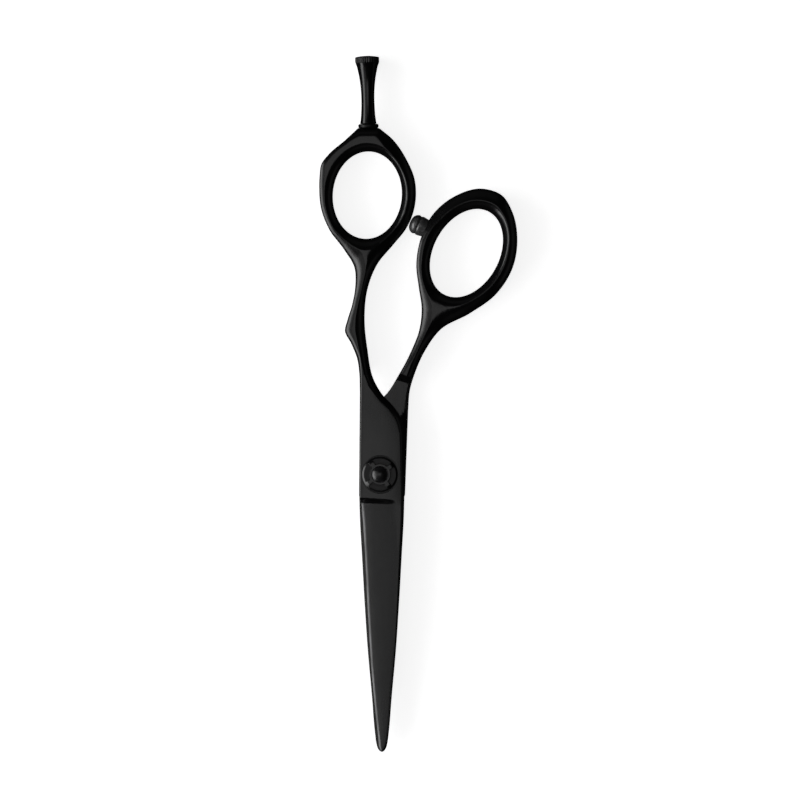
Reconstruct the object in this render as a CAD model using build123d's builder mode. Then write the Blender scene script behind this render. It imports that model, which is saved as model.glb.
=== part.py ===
from build123d import *
import math
import os

# Hair cutting shears, lying flat and closed.  Millimetres.
# Origin: the pivot axis where it meets the surface the shears lie on.
# +Z runs along the pivot axis towards the tension dial, +Y towards the handles,
# +X towards the thumb ring.  The finger half is the upper one, the thumb half the lower.

# --- driving dimensions -------------------------------------------------------------
HALF_THICKNESS = 3.0          # each half at the pivot
TOTAL_THICKNESS = 2 * HALF_THICKNESS
MATE_Z = HALF_THICKNESS       # the plane where the two halves ride on each other
RIDE_GAP = 0.04               # air between the two halves
MID_X = 0.45                  # the closed blades are mirror images about this line
HANDLE_MID_Z = TOTAL_THICKNESS / 2
RIM_FILLET = 0.5
HOLE_CHAMFER = 1.3
TIP_Y = -68.1

# finger and thumb holes: ellipse centre, half width, half length, lean
FINGER_HOLE_CENTRE = (-3.11, 68.39)
FINGER_HOLE_RADII = (8.45, 10.73)
FINGER_HOLE_LEAN = -4.3
THUMB_HOLE_CENTRE = (21.17, 54.19)
THUMB_HOLE_RADII = (8.02, 11.53)
THUMB_HOLE_LEAN = -28.7

# pivot stack, from the back of the thumb half to the dial
BOLT_HEAD_R = 4.0
BOLT_HEAD_Z = (0.1, 1.0)
BOLT_SQUARE = 4.6
BOLT_SQUARE_TOP = 2.2
JOURNAL_R = 2.55
JOURNAL_TOP = 3.85
SHANK_R = 1.95
SHANK_TOP = 6.85
DOME_RISE = 0.75
FLAT_HALF_WIDTH = 1.6
FLATS_Z = (4.76, 5.83)
RUNNING = 0.03                # radial clearance of a running fit
WASHER_POCKET_R = 4.7
RIDE_WASHER_Z = (2.72, 2.92)
BUSH_OUTER_R = 3.2
POCKET_R = 4.6                # counterbore in the finger half for the dial and its stack
POCKET_FLOOR = 3.9
RACE_R = (2.1, 4.3)
RACE_THICKNESS = 0.25
BALL_R = 0.3
BALL_CIRCLE_R = 3.3
BALL_COUNT = 12
CAGE_R = (2.4, 4.2)
CAGE_THICKNESS = 0.2
STACK_GAP = 0.02
SPRING_R = (2.1, 4.0)
SPRING_HEIGHT = 0.33
SPRING_STRIP = 0.14
CLICK_PLATE_R = 4.2
CLICK_PLATE_THICKNESS = 0.4
CLICK_BALL_COUNT = 4
DIAL_R = 4.4
DIAL_Z = (5.86, 6.85)
DIAL_SECTOR_DEPTH = 0.3
DIAL_SPOKE_WIDTH = 1.2
DIAL_SPOKE_ANGLE = 37.0         # where the dial's first spoke points when the tension is set
DIAL_HUB_R = 2.5
DIAL_CHAMFER = 0.45
CLICK_GROOVE_DEPTH = 0.3
HEAD_SLOT = (0.8, 0.45)         # width and depth of the slot in the bolt's head

# finger rest, screwed into the top of the finger ring
REST_SEAT = (-2.83, 84.75)
REST_LEAN = 1.1
REST_LENGTH = 17.75
REST_RIM_Y = 17.2             # where the domed end begins
REST_STUD_R = 1.0
REST_STUD_LENGTH = 3.2
REST_WASHER_R = 2.5
REST_WASHER_HEIGHT = 1.1

# bumper, pushed into the side of the thumb ring
BUMPER_SEAT = (11.55, 60.1)
BUMPER_AIM = 156.5            # direction it points, degrees from +X
BUMPER_LENGTH = 4.5
BUMPER_R = 2.4
BUMPER_FLAT_R = 2.35          # flat on the thumb ring that the bumper stands on
BUMPER_STEM_R = 1.0
BUMPER_STEM_LENGTH = 2.2

# --- outlines -----------------------------------------------------------------------
# Left and right side of the finger half, from the plate up to the seat of the rest.
FINGER_LEFT = [
    (-4.93, 20.0), (-5.1, 25.2), (-5.6, 28.2), (-7.1, 32.0), (-8.55, 35.2), (-8.1, 37.5),
    (-6.9, 41.2), (-6.05, 46.0), (-6.25, 50.6), (-8.8, 55.05), (-12.4, 59.9), (-14.6, 66.0),
    (-14.9, 72.0), (-14.4, 75.9), (-12.8, 78.2), (-8.6, 81.7), (-5.6, 84.7),
]
FINGER_RIGHT = [
    (-0.1, 84.8), (3.13, 82.0), (6.5, 77.1), (8.6, 71.5), (8.6, 66.1), (6.85, 60.9),
    (3.3, 56.3), (-0.7, 51.4), (-3.1, 45.2), (-3.8, 38.5), (-3.1, 30.8), (-1.45, 23.0),
    (0.7, 19.4), (3.2, 16.6), (5.3, 13.5), (6.1, 10.2),
]
# Left and right side of the thumb half; it runs round the ring in one curve.
THUMB_LEFT = [
    (-5.0, 11.0), (-3.6, 14.6), (-1.4, 17.3), (1.2, 19.3), (4.5, 24.2), (7.7, 30.3), (9.6, 35.3),
    (10.2, 40.6), (9.5, 45.8), (8.9, 51.4), (10.0, 57.5), (13.5, 64.3), (19.0, 68.4), (25.3, 69.9),
    (30.0, 68.1), (32.6, 63.6), (33.65, 57.5), (32.3, 50.2), (28.3, 44.0), (21.5, 39.1),
    (14.8, 35.4), (10.9, 30.0), (8.6, 24.9), (7.3, 20.5), (6.9, 15.6),
]
# The front blade's cutting edge and spine; the rear blade mirrors them.
EDGE = [(-4.6, -6.7), (-3.72, -18.6), (-2.96, -34.0), (-1.86, -50.4), (-0.7, -62.0), (-0.2, -66.4)]
SPINE = [(6.0, -4.5), (5.36, -19.2), (4.7, -31.0), (3.9, -42.8), (2.9, -54.4), (2.1, -63.3)]
TIP = (0.55, TIP_Y)


def mirrored(points):
    """The same outline seen on the other side of the closed blades' middle line."""
    return [(2 * MID_X - x, y) for x, y in points]


def blade_sections(flip):
    """Sections of what is ground off a blade: hollow face, ridge flat and spine bevel."""
    root = [(-6.5, 3.2), (3.8, 6.0), (5.0, 6.0), (7.0, 4.9), (7.0, 9.0), (-6.5, 9.0)]
    tip = [(-2.2, 3.15), (0.9, 3.85), (1.2, 3.85), (3.2, 3.4), (3.2, 9.0), (-2.2, 9.0)]
    if not flip:
        return root, tip
    turned = []
    for section in (root, tip):
        turned.append([(2 * MID_X - x, TOTAL_THICKNESS - z) for x, z in section])
    return turned


GRIND_TOP_Y = -6.6             # where the hollow grinding starts, below the plate
GRIND_END_Y = -70.0
STEP_LINE = [(-8.0, 21.6), (2.0, 25.6)]      # underside shoulder of the finger half's shank
THUMB_STEP_LINE = [(-8.0, 27.6), (16.0, 18.8)]   # its twin on top of the thumb half's shank
RIM_MIN_LENGTH = 62.0          # handle rims are the long edges above the pivot
HOLE_RIM_MIN_LENGTH = 40.0
BIG = 30.0                     # longer than any cut needs


def ring_hole(centre, radii, lean):
    """Elliptical finger hole as a sketch on the ground plane."""
    with BuildSketch() as hole:
        with Locations(Location((centre[0], centre[1], 0), (0, 0, lean))):
            Ellipse(*radii)
    return hole.sketch


def in_row_plane(seat, direction_deg):
    """Plane through the row's mid height whose Y axis points along direction_deg."""
    turn = math.radians(direction_deg - 90)
    return Plane(
        origin=(seat[0], seat[1], HANDLE_MID_Z),
        x_dir=(math.cos(turn), math.sin(turn), 0),
        z_dir=(0, 0, 1),
    )


def dome(base_r, base_y, rise):
    """Quarter profile of a shallow spherical cap, from its rim up to the axis."""
    sphere_r = (base_r**2 + rise**2) / (2 * rise)
    spread = math.degrees(math.asin(base_r / sphere_r))
    return CenterArc((0, base_y + rise - sphere_r), sphere_r, 90 - spread, spread)


def finish(builder, name):
    """Label a finished piece and write it as its own node."""
    builder.part.label = name
    os.makedirs("parts", exist_ok=True)
    export_step(builder.part, f"parts/{name}.step")


REST_PLANE = in_row_plane(REST_SEAT, 90 + REST_LEAN)
BUMPER_PLANE = in_row_plane(BUMPER_SEAT, BUMPER_AIM)

# --- finger half: upper blade, plate, shank and finger ring in one forging ------------
with BuildPart() as finger_half:
    with BuildSketch():
        with BuildLine():
            left = Spline(*FINGER_LEFT)
            Line(left @ 1, FINGER_RIGHT[0])
            right = Spline(*FINGER_RIGHT)
            Line(right @ 1, SPINE[0])
            spine = Spline(*SPINE)
            ThreePointArc(spine @ 1, (1.6, -67.0), TIP)
            ThreePointArc(TIP, (0.0, -67.7), EDGE[-1])
            edge = Spline(*reversed(EDGE))
            heel = Line(edge @ 1, (-5.12, -5.2))
            Line(heel @ 1, left @ 0)
        make_face()
        add(ring_hole(FINGER_HOLE_CENTRE, FINGER_HOLE_RADII, FINGER_HOLE_LEAN), mode=Mode.SUBTRACT)
    extrude(amount=TOTAL_THICKNESS)
    # only the shank and ring reach down beside the thumb half
    with BuildSketch():
        with BuildLine():
            Polyline(*STEP_LINE, (BIG, 25.6), (BIG, -80), (-BIG, -80), (-BIG, 21.6), close=True)
        make_face()
    extrude(amount=MATE_Z + RIDE_GAP, mode=Mode.SUBTRACT)
    # hollow face, ridge flat and spine bevel, tapering to the tip
    root_section, tip_section = blade_sections(flip=False)
    for y, section in ((GRIND_TOP_Y, root_section), (GRIND_END_Y, tip_section)):
        with BuildSketch(Plane(origin=(0, y, 0), x_dir=(1, 0, 0), z_dir=(0, -1, 0))):
            Polygon(*section, align=None)
    loft(ruled=True, mode=Mode.SUBTRACT)
    # pivot: dial pocket from above, bore for the bush from below
    with Locations((0, 0, POCKET_FLOOR)):
        Cylinder(POCKET_R, BIG, align=(Align.CENTER, Align.CENTER, Align.MIN), mode=Mode.SUBTRACT)
    Cylinder(BUSH_OUTER_R, BIG, mode=Mode.SUBTRACT)
    # threaded hole for the finger rest
    above_seat = REST_PLANE.origin + REST_PLANE.y_dir
    with BuildSketch(Plane(origin=above_seat, x_dir=(0, 0, 1), z_dir=-REST_PLANE.y_dir)):
        Circle(REST_STUD_R + RUNNING)
    extrude(amount=REST_STUD_LENGTH + 1.4, mode=Mode.SUBTRACT)
    # softened rims of the handle, inside and out
    long_rims = [e for e in finger_half.edges() if e.length > RIM_MIN_LENGTH and e.center().Y > 20]
    fillet([e for e in long_rims if e.geom_type == GeomType.BSPLINE], RIM_FILLET)
    hole_rims = finger_half.edges().filter_by(GeomType.ELLIPSE)
    chamfer([e for e in hole_rims if e.length > HOLE_RIM_MIN_LENGTH], HOLE_CHAMFER)
finish(finger_half, "finger_half")

# --- thumb half: lower blade, plate, shank and thumb ring in one forging --------------
with BuildPart() as thumb_half:
    with BuildSketch():
        with BuildLine():
            outline = Spline(*THUMB_LEFT)
            spine_points = mirrored(SPINE)
            edge_points = mirrored(EDGE)
            heel = Line(outline @ 1, (6.1, -5.2))
            Line(heel @ 1, edge_points[0])
            edge = Spline(*edge_points)
            rear_tip = (2 * MID_X - TIP[0], TIP[1])
            ThreePointArc(edge @ 1, (2 * MID_X, -67.7), rear_tip)
            ThreePointArc(rear_tip, (2 * MID_X - 1.6, -67.0), spine_points[-1])
            spine = Spline(*reversed(spine_points))
            Line(spine @ 1, outline @ 0)
        make_face()
        add(ring_hole(THUMB_HOLE_CENTRE, THUMB_HOLE_RADII, THUMB_HOLE_LEAN), mode=Mode.SUBTRACT)
    extrude(amount=TOTAL_THICKNESS)
    # only the shank and ring rise up beside the finger half
    with BuildSketch(Plane.XY.offset(MATE_Z)):
        with BuildLine():
            Polyline(*THUMB_STEP_LINE, (BIG, 18.0), (BIG, -80), (-BIG, -80), (-BIG, 26.0), close=True)
        make_face()
    extrude(amount=BIG, mode=Mode.SUBTRACT)
    root_section, tip_section = blade_sections(flip=True)
    for y, section in ((GRIND_TOP_Y, root_section), (GRIND_END_Y, tip_section)):
        with BuildSketch(Plane(origin=(0, y, 0), x_dir=(1, 0, 0), z_dir=(0, -1, 0))):
            Polygon(*section, align=None)
    loft(ruled=True, mode=Mode.SUBTRACT)
    # seat for the bolt head, square hole for its neck, round hole for its journal
    with Locations((0, 0, 0)):
        Cylinder(BOLT_HEAD_R, 2 * BOLT_HEAD_Z[1], mode=Mode.SUBTRACT)
        Box(BOLT_SQUARE, BOLT_SQUARE, 2 * BOLT_SQUARE_TOP, mode=Mode.SUBTRACT)
        Cylinder(JOURNAL_R, BIG, mode=Mode.SUBTRACT)
    with Locations((0, 0, RIDE_WASHER_Z[0])):
        Cylinder(WASHER_POCKET_R, BIG, align=(Align.CENTER, Align.CENTER, Align.MIN), mode=Mode.SUBTRACT)
    # blind hole for the bumper's stem
    with BuildSketch(Plane(origin=BUMPER_PLANE.origin, x_dir=(0, 0, 1), z_dir=-BUMPER_PLANE.y_dir)):
        Circle(BUMPER_STEM_R)
    extrude(amount=BUMPER_STEM_LENGTH + 0.2, mode=Mode.SUBTRACT)
    with BuildSketch(Plane(origin=BUMPER_PLANE.origin, x_dir=(0, 0, 1), z_dir=BUMPER_PLANE.y_dir)):
        Circle(BUMPER_FLAT_R)
    extrude(amount=2.0, mode=Mode.SUBTRACT)
    upper_edges = thumb_half.edges().group_by(Axis.Z)[-1].filter_by(GeomType.BSPLINE)
    fillet([e for e in upper_edges if e.length > RIM_MIN_LENGTH], RIM_FILLET)
    hole_rims = thumb_half.edges().filter_by(GeomType.ELLIPSE)
    chamfer([e for e in hole_rims if e.length > HOLE_RIM_MIN_LENGTH], HOLE_CHAMFER)
finish(thumb_half, "thumb_half")

# --- pivot bolt: flush head, square neck, journal, keyed shank with a domed end --------
with BuildPart() as pivot_bolt:
    with BuildSketch(Plane.XY.offset(BOLT_HEAD_Z[0])):
        Circle(BOLT_HEAD_R - RUNNING)
    extrude(amount=BOLT_HEAD_Z[1] - BOLT_HEAD_Z[0])
    with BuildSketch(Plane.XY.offset(BOLT_HEAD_Z[1])):
        Rectangle(BOLT_SQUARE - RUNNING, BOLT_SQUARE - RUNNING)
    extrude(amount=BOLT_SQUARE_TOP - BOLT_HEAD_Z[1])
    with BuildSketch(Plane.XY.offset(BOLT_SQUARE_TOP)):
        Circle(JOURNAL_R - RUNNING)
    extrude(amount=JOURNAL_TOP - BOLT_SQUARE_TOP)
    with BuildSketch(Plane.XZ):
        with BuildLine():
            Polyline((0, JOURNAL_TOP), (SHANK_R, JOURNAL_TOP), (SHANK_R, SHANK_TOP))
            dome(SHANK_R, SHANK_TOP, DOME_RISE)
            Line((0, SHANK_TOP + DOME_RISE), (0, JOURNAL_TOP))
        make_face()
    revolve(axis=Axis.Z)
    # two flats that key the thrust washer and the click plate
    flats_height = FLATS_Z[1] - FLATS_Z[0]
    for side in (-1, 1):
        with Locations((side * (FLAT_HALF_WIDTH + SHANK_R), 0, FLATS_Z[0] + flats_height / 2)):
            Box(2 * SHANK_R, 3 * SHANK_R, flats_height, mode=Mode.SUBTRACT)
    # screwdriver slot in the head
    with Locations((0, 0, BOLT_HEAD_Z[0])):
        Box(2 * BOLT_HEAD_R, HEAD_SLOT[0], 2 * HEAD_SLOT[1], mode=Mode.SUBTRACT)
finish(pivot_bolt, "pivot_bolt")


def washer(inner_r, outer_r, bottom, top, keyed=False):
    """A flat ring; a keyed one grips the bolt's two flats."""
    with BuildPart() as ring:
        with BuildSketch(Plane.XY.offset(bottom)):
            Circle(outer_r)
            Circle(inner_r, mode=Mode.SUBTRACT)
            if keyed:
                with BuildSketch(mode=Mode.PRIVATE) as jaw:
                    Circle(inner_r + 0.1)
                    Rectangle(2 * (FLAT_HALF_WIDTH + RUNNING), 4 * inner_r, mode=Mode.SUBTRACT)
                add(jaw.sketch)
        extrude(amount=top - bottom)
    return ring


# --- washers and bushes of the pivot -----------------------------------------------
bush = washer(JOURNAL_R, BUSH_OUTER_R, MATE_Z + 2 * RIDE_GAP, JOURNAL_TOP)
finish(bush, "pivot_bush")

ride_washer = washer(JOURNAL_R, WASHER_POCKET_R - RUNNING, *RIDE_WASHER_Z)
finish(ride_washer, "ride_washer")

race_top = POCKET_FLOOR + RACE_THICKNESS
bearing_race = washer(*RACE_R, POCKET_FLOOR, race_top)
finish(bearing_race, "bearing_race")

ball_centre_z = race_top + STACK_GAP + BALL_R
cage_bottom = ball_centre_z - CAGE_THICKNESS / 2
with BuildPart() as bearing_cage:
    with BuildSketch(Plane.XY.offset(cage_bottom)):
        Circle(CAGE_R[1])
        Circle(CAGE_R[0], mode=Mode.SUBTRACT)
        with PolarLocations(BALL_CIRCLE_R, BALL_COUNT):
            Circle(BALL_R + STACK_GAP, mode=Mode.SUBTRACT)
    extrude(amount=CAGE_THICKNESS)
finish(bearing_cage, "bearing_cage")

with BuildPart() as bearing_balls:
    with Locations((0, 0, ball_centre_z)):
        with PolarLocations(BALL_CIRCLE_R, BALL_COUNT):
            Sphere(BALL_R)
finish(bearing_balls, "bearing_balls")

thrust_bottom = ball_centre_z + BALL_R + STACK_GAP
thrust_top = thrust_bottom + RACE_THICKNESS
thrust_washer = washer(SHANK_R + RUNNING, RACE_R[1], thrust_bottom, thrust_top, keyed=True)
finish(thrust_washer, "thrust_washer")

# conical spring washer: flat strip leaning up towards the bolt
spring_bottom = thrust_top + STACK_GAP
with BuildPart() as spring_washer:
    with BuildSketch(Plane.XZ):
        with BuildLine():
            Polyline(
                (SPRING_R[1], spring_bottom),
                (SPRING_R[1], spring_bottom + SPRING_STRIP),
                (SPRING_R[0], spring_bottom + SPRING_HEIGHT),
                (SPRING_R[0], spring_bottom + SPRING_HEIGHT - SPRING_STRIP),
                close=True,
            )
        make_face()
    revolve(axis=Axis.Z)
finish(spring_washer, "spring_washer")

click_bottom = spring_bottom + SPRING_HEIGHT + STACK_GAP
click_top = click_bottom + CLICK_PLATE_THICKNESS
with BuildPart() as click_plate:
    add(washer(SHANK_R + RUNNING, CLICK_PLATE_R, click_bottom, click_top, keyed=True).part)
    with BuildSketch(Plane.XY.offset(click_bottom)):
        with PolarLocations(BALL_CIRCLE_R, CLICK_BALL_COUNT):
            Circle(BALL_R + STACK_GAP)
    extrude(amount=CLICK_PLATE_THICKNESS, mode=Mode.SUBTRACT)
finish(click_plate, "click_plate")

click_ball_z = click_bottom + BALL_R
with BuildPart() as click_balls:
    with Locations((0, 0, click_ball_z)):
        with PolarLocations(BALL_CIRCLE_R, CLICK_BALL_COUNT):
            Sphere(BALL_R)
finish(click_balls, "click_balls")

# --- tension dial: four flat spokes between lower, chamfered sectors -------------------
with BuildPart() as tension_dial:
    with BuildSketch(Plane.XY.offset(DIAL_Z[0])):
        Circle(DIAL_R)
    extrude(amount=DIAL_Z[1] - DIAL_SECTOR_DEPTH - DIAL_Z[0])
    chamfer(tension_dial.edges().sort_by(Axis.Z)[-1], DIAL_CHAMFER)
    with BuildSketch(Plane.XY.offset(DIAL_Z[0])):
        with PolarLocations(0, 2, start_angle=DIAL_SPOKE_ANGLE, angular_range=180):
            Rectangle(2 * DIAL_R, DIAL_SPOKE_WIDTH)
        Circle(DIAL_R, mode=Mode.INTERSECT)
        Circle(DIAL_HUB_R)
    extrude(amount=DIAL_Z[1] - DIAL_Z[0])
    Cylinder(SHANK_R + RUNNING, BIG, mode=Mode.SUBTRACT)
    # ring groove for the click balls
    with BuildSketch(Plane.XY.offset(DIAL_Z[0])):
        Circle(BALL_CIRCLE_R + BALL_R + 0.1)
        Circle(BALL_CIRCLE_R - BALL_R - 0.1, mode=Mode.SUBTRACT)
    extrude(amount=CLICK_GROOVE_DEPTH, mode=Mode.SUBTRACT)
finish(tension_dial, "tension_dial")

# --- finger rest: waisted stem with a flared, domed and knurled end --------------------
REST_PROFILE = [(2.05, 1.2), (1.66, 4.6), (1.6, 7.1), (1.68, 9.6), (1.95, 12.1), (2.5, 14.6), (2.95, 16.3)]
with BuildPart() as finger_rest:
    with BuildSketch(REST_PLANE):
        with BuildLine():
            Polyline(
                (0, -REST_STUD_LENGTH), (REST_STUD_R, -REST_STUD_LENGTH), (REST_STUD_R, 0.0),
                (REST_STUD_R, REST_WASHER_HEIGHT + 0.05), (2.05, REST_WASHER_HEIGHT + 0.05), REST_PROFILE[0],
            )
            flare = Spline(*REST_PROFILE)
            Line(flare @ 1, (2.95, REST_RIM_Y))
            dome(2.95, REST_RIM_Y, REST_LENGTH - REST_RIM_Y)
            Line((0, REST_LENGTH), (0, -REST_STUD_LENGTH))
        make_face()
    revolve(axis=Axis(REST_PLANE.origin, REST_PLANE.y_dir))
finish(finger_rest, "finger_rest")

with BuildPart() as rest_washer:
    with BuildSketch(REST_PLANE):
        with Locations(((REST_STUD_R + RUNNING + REST_WASHER_R) / 2, REST_WASHER_HEIGHT / 2 + 0.02)):
            RectangleRounded(REST_WASHER_R - REST_STUD_R - RUNNING, REST_WASHER_HEIGHT - 0.04, 0.4)
    revolve(axis=Axis(REST_PLANE.origin, REST_PLANE.y_dir))
finish(rest_washer, "finger_rest_washer")

# --- bumper: rubber stop with a flange, a groove and a domed end ------------------------
with BuildPart() as bumper:
    with BuildSketch(BUMPER_PLANE):
        with BuildLine():
            Polyline(
                (0, -BUMPER_STEM_LENGTH), (BUMPER_STEM_R, -BUMPER_STEM_LENGTH), (BUMPER_STEM_R, 0),
                (2.1, 0), (2.1, 0.8), (1.9, 1.0), (1.9, 1.2), (BUMPER_R, 1.6), (BUMPER_R, 2.8),
            )
            Spline((BUMPER_R, 2.8), (1.8, 3.95), (0, BUMPER_LENGTH), tangents=((0, 1), (-1, 0)))
            Line((0, BUMPER_LENGTH), (0, -BUMPER_STEM_LENGTH))
        make_face()
    revolve(axis=Axis(BUMPER_PLANE.origin, BUMPER_PLANE.y_dir))
finish(bumper, "bumper")
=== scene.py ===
# %% [markdown]
# # Hair cutting shears
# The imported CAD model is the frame: it holds every size, the pivot and the moving bodies.
# Here the two forged halves are made again as finely shaped surfaces, and each finish gets a
# material of its own.  Lengths are written in millimetres and turned into metres when a mesh
# is made, because a shears maker thinks in millimetres.

# %% Load the frame
import math

import bmesh
import bpy
import numpy as np
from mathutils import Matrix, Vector


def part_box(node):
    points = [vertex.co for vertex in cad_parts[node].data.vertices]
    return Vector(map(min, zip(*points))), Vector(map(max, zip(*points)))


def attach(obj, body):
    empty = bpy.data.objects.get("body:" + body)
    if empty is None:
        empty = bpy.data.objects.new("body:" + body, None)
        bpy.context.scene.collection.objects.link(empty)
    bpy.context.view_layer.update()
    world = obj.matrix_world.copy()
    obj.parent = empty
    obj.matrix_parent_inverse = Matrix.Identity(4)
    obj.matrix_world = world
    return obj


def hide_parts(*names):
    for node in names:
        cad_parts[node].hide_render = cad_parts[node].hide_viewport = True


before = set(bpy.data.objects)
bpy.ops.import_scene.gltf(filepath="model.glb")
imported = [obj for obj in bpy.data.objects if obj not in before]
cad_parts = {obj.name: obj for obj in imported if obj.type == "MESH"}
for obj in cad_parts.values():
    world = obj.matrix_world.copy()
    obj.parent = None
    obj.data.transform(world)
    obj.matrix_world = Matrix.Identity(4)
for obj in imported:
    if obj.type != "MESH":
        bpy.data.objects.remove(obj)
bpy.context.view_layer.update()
MM = 0.001

# %% [markdown]
# ## Levels
# The two halves lie one on the other.  Heights are measured as a depth from the outer face of
# a half: depth 0 is the outer face, HALF is the plane where the halves ride on each other and
# FULL is the far side, which only the shanks and rings reach.

# %% Levels and driving sizes
FULL = (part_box("finger_half")[1][2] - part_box("thumb_half")[0][2]) / MM
HALF = FULL / 2
RIDE_GAP = 0.04
MID_X = 0.45                      # the closed blades are mirror images about this line
print("full thickness, mm:", round(FULL, 2))

# %% [markdown]
# ## Outlines
# Each outline is a short list of points that a smooth curve runs through.  The curve is a cubic
# Hermite spline: between two points it blends their positions and slopes, and the slope at a
# point is the weighted mean of the chords on both sides.

# %% A smooth curve through points
def through(points, spacing=0.12):
    """Cubic Hermite curve through the points, sampled about every spacing mm.

    The parameter is the chord length.  The slope at an inner point is the mean of the two
    neighbouring chord slopes, each weighted by the length of the other chord.
    """
    p = np.array(points, float)
    h = np.linalg.norm(np.diff(p, axis=0), axis=1)
    t = np.concatenate([[0.0], np.cumsum(h)])
    chord = np.diff(p, axis=0) / h[:, None]
    slope = np.empty_like(p)
    slope[0], slope[-1] = chord[0], chord[-1]
    weight = (h[:-1] / (h[:-1] + h[1:]))[:, None]
    slope[1:-1] = chord[:-1] * (1 - weight) + chord[1:] * weight
    s = np.linspace(0, t[-1], max(2, int(t[-1] / spacing)))
    i = np.clip(np.searchsorted(t, s, side="right") - 1, 0, len(h) - 1)
    u = ((s - t[i]) / h[i])[:, None]
    hi = h[i][:, None]
    return (
        (2 * u**3 - 3 * u**2 + 1) * p[i]
        + (u**3 - 2 * u**2 + u) * hi * slope[i]
        + (3 * u**2 - 2 * u**3) * p[i + 1]
        + (u**3 - u**2) * hi * slope[i + 1]
    )


def chain(*pieces):
    """Several curves end to end as one polyline, without doubled points."""
    whole = np.concatenate([np.asarray(piece, float) for piece in pieces])
    keep = np.concatenate([[True], np.linalg.norm(np.diff(whole, axis=0), axis=1) > 1e-6])
    return whole[keep]


def mirrored(points):
    """The same points on the other side of the closed blades' middle line."""
    p = np.array(points, float)
    return np.stack([2 * MID_X - p[:, 0], p[:, 1]], axis=1)


# %% Blade outline, shared by both halves
EDGE = [(-4.62, -6.7), (-4.36, -9.3), (-3.72, -18.6), (-2.96, -34.0), (-1.86, -50.4),
        (-0.7, -62.0), (-0.35, -65.2), (-0.1, -67.1), (0.15, -67.75), (0.4, -68.0)]
SPINE = [(6.0, -4.5), (5.84, -10.4), (5.36, -19.2), (4.7, -31.0), (3.92, -42.8), (2.88, -54.4),
         (2.14, -63.3), (1.78, -66.0), (1.5, -67.0), (1.1, -67.65), (0.65, -68.0)]
edge_curve = through(EDGE)
spine_curve = through(SPINE)
print("blade from pivot to tip, mm:", round(-EDGE[-1][1], 1))

# %% Finger half outline
FINGER_LEFT = [(-4.93, 20.0), (-5.1, 25.2), (-5.55, 28.2), (-7.05, 32.0), (-8.58, 35.2),
               (-8.05, 37.5), (-6.9, 41.2), (-6.05, 46.0), (-6.25, 50.6), (-8.8, 55.05),
               (-12.4, 59.9), (-14.4, 65.0), (-14.87, 69.7), (-14.78, 73.0), (-14.3, 76.0),
               (-12.6, 78.25), (-8.4, 81.9), (-5.4, 84.72)]
FINGER_RIGHT = [(-0.2, 84.8), (3.13, 82.0), (6.5, 77.1), (8.5, 72.2), (8.82, 68.4), (8.2, 64.3),
                (6.4, 60.2), (3.3, 56.3), (-0.7, 51.4), (-3.1, 45.2), (-3.78, 38.5), (-3.1, 30.8),
                (-1.45, 23.0), (0.7, 19.4), (3.2, 16.7), (5.25, 13.6), (6.1, 10.2)]
finger_left = chain(through([(-5.12, -5.2), (-4.93, 20.0)]), through(FINGER_LEFT))
finger_right = chain(through(FINGER_RIGHT), through([(6.1, 10.2), SPINE[0]]))
SEAT = (-2.83, 84.75)             # where the finger rest stands on the finger ring
finger_left = chain(edge_curve[::-1], finger_left, through([finger_left[-1], SEAT]))
finger_right = chain(through([SEAT, finger_right[0]]), finger_right, spine_curve)

# %% Thumb half outline
THUMB_RING = [(-5.0, 11.0), (-3.6, 14.6), (-1.4, 17.3), (1.2, 19.3), (4.5, 24.2), (7.7, 30.3),
              (9.6, 35.3), (10.2, 40.6), (9.5, 45.8), (8.9, 51.4), (9.9, 57.5), (12.9, 63.6),
              (18.2, 68.05), (25.0, 69.95), (29.9, 68.3), (32.4, 64.3), (33.63, 58.0), (32.5, 50.6),
              (28.6, 44.3), (21.9, 39.35), (14.9, 35.5), (11.0, 30.2), (8.6, 24.9), (7.3, 20.5),
              (6.9, 15.6)]
thumb_line = through(THUMB_RING)
top = thumb_line[:, 1].argmax()
thumb_root = through([(-5.1, -4.5), (-5.0, 11.0)])
thumb_left = chain(mirrored(spine_curve)[::-1], thumb_root, thumb_line[:top + 1])
thumb_right = chain(thumb_line[top:], through([(6.9, 15.6), (6.15, -5.0)]), mirrored(edge_curve))
print("outline points:", len(finger_left), len(finger_right), len(thumb_left), len(thumb_right))

# %% [markdown]
# ## Shape of a half
# A half is two sheets, the outer face and the inner face, joined along the outline and round the
# finger hole.  Both sheets share one grid: a ring grid round the hole and a long grid for shank,
# plate and blade.  The depth of each grid point comes from its distances to the outline and to the
# hole, as a forging is ground: a flank falls away near every rim, and where two flanks meet, a
# ridge is left.  The same two formulas then make both halves.

# %% Distances and flanks
def step(value, low, high):
    """Smooth step: 0 below low, 1 above high, a cubic between."""
    u = np.clip((value - low) / (high - low), 0, 1)
    return u * u * (3 - 2 * u)


def to_polyline(points, line):
    """Shortest distance from each point to a polyline, and the index of the nearest vertex."""
    best = np.empty(len(points))
    near = np.empty(len(points), int)
    for start in range(0, len(points), 2000):
        block = points[start:start + 2000]
        gap = np.linalg.norm(block[:, None, :] - line[None, :, :], axis=2)
        index = gap.argmin(axis=1)
        distance = gap[np.arange(len(block)), index]
        for side in (-1, 0):
            a = line[np.clip(index + side, 0, len(line) - 2)]
            b = line[np.clip(index + side, 0, len(line) - 2) + 1]
            along = ((block - a) * (b - a)).sum(1) / ((b - a) ** 2).sum(1)
            foot = a + np.clip(along, 0, 1)[:, None] * (b - a)
            distance = np.minimum(distance, np.linalg.norm(block - foot, axis=1))
        best[start:start + 2000] = distance
        near[start:start + 2000] = index
    return best, near


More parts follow.
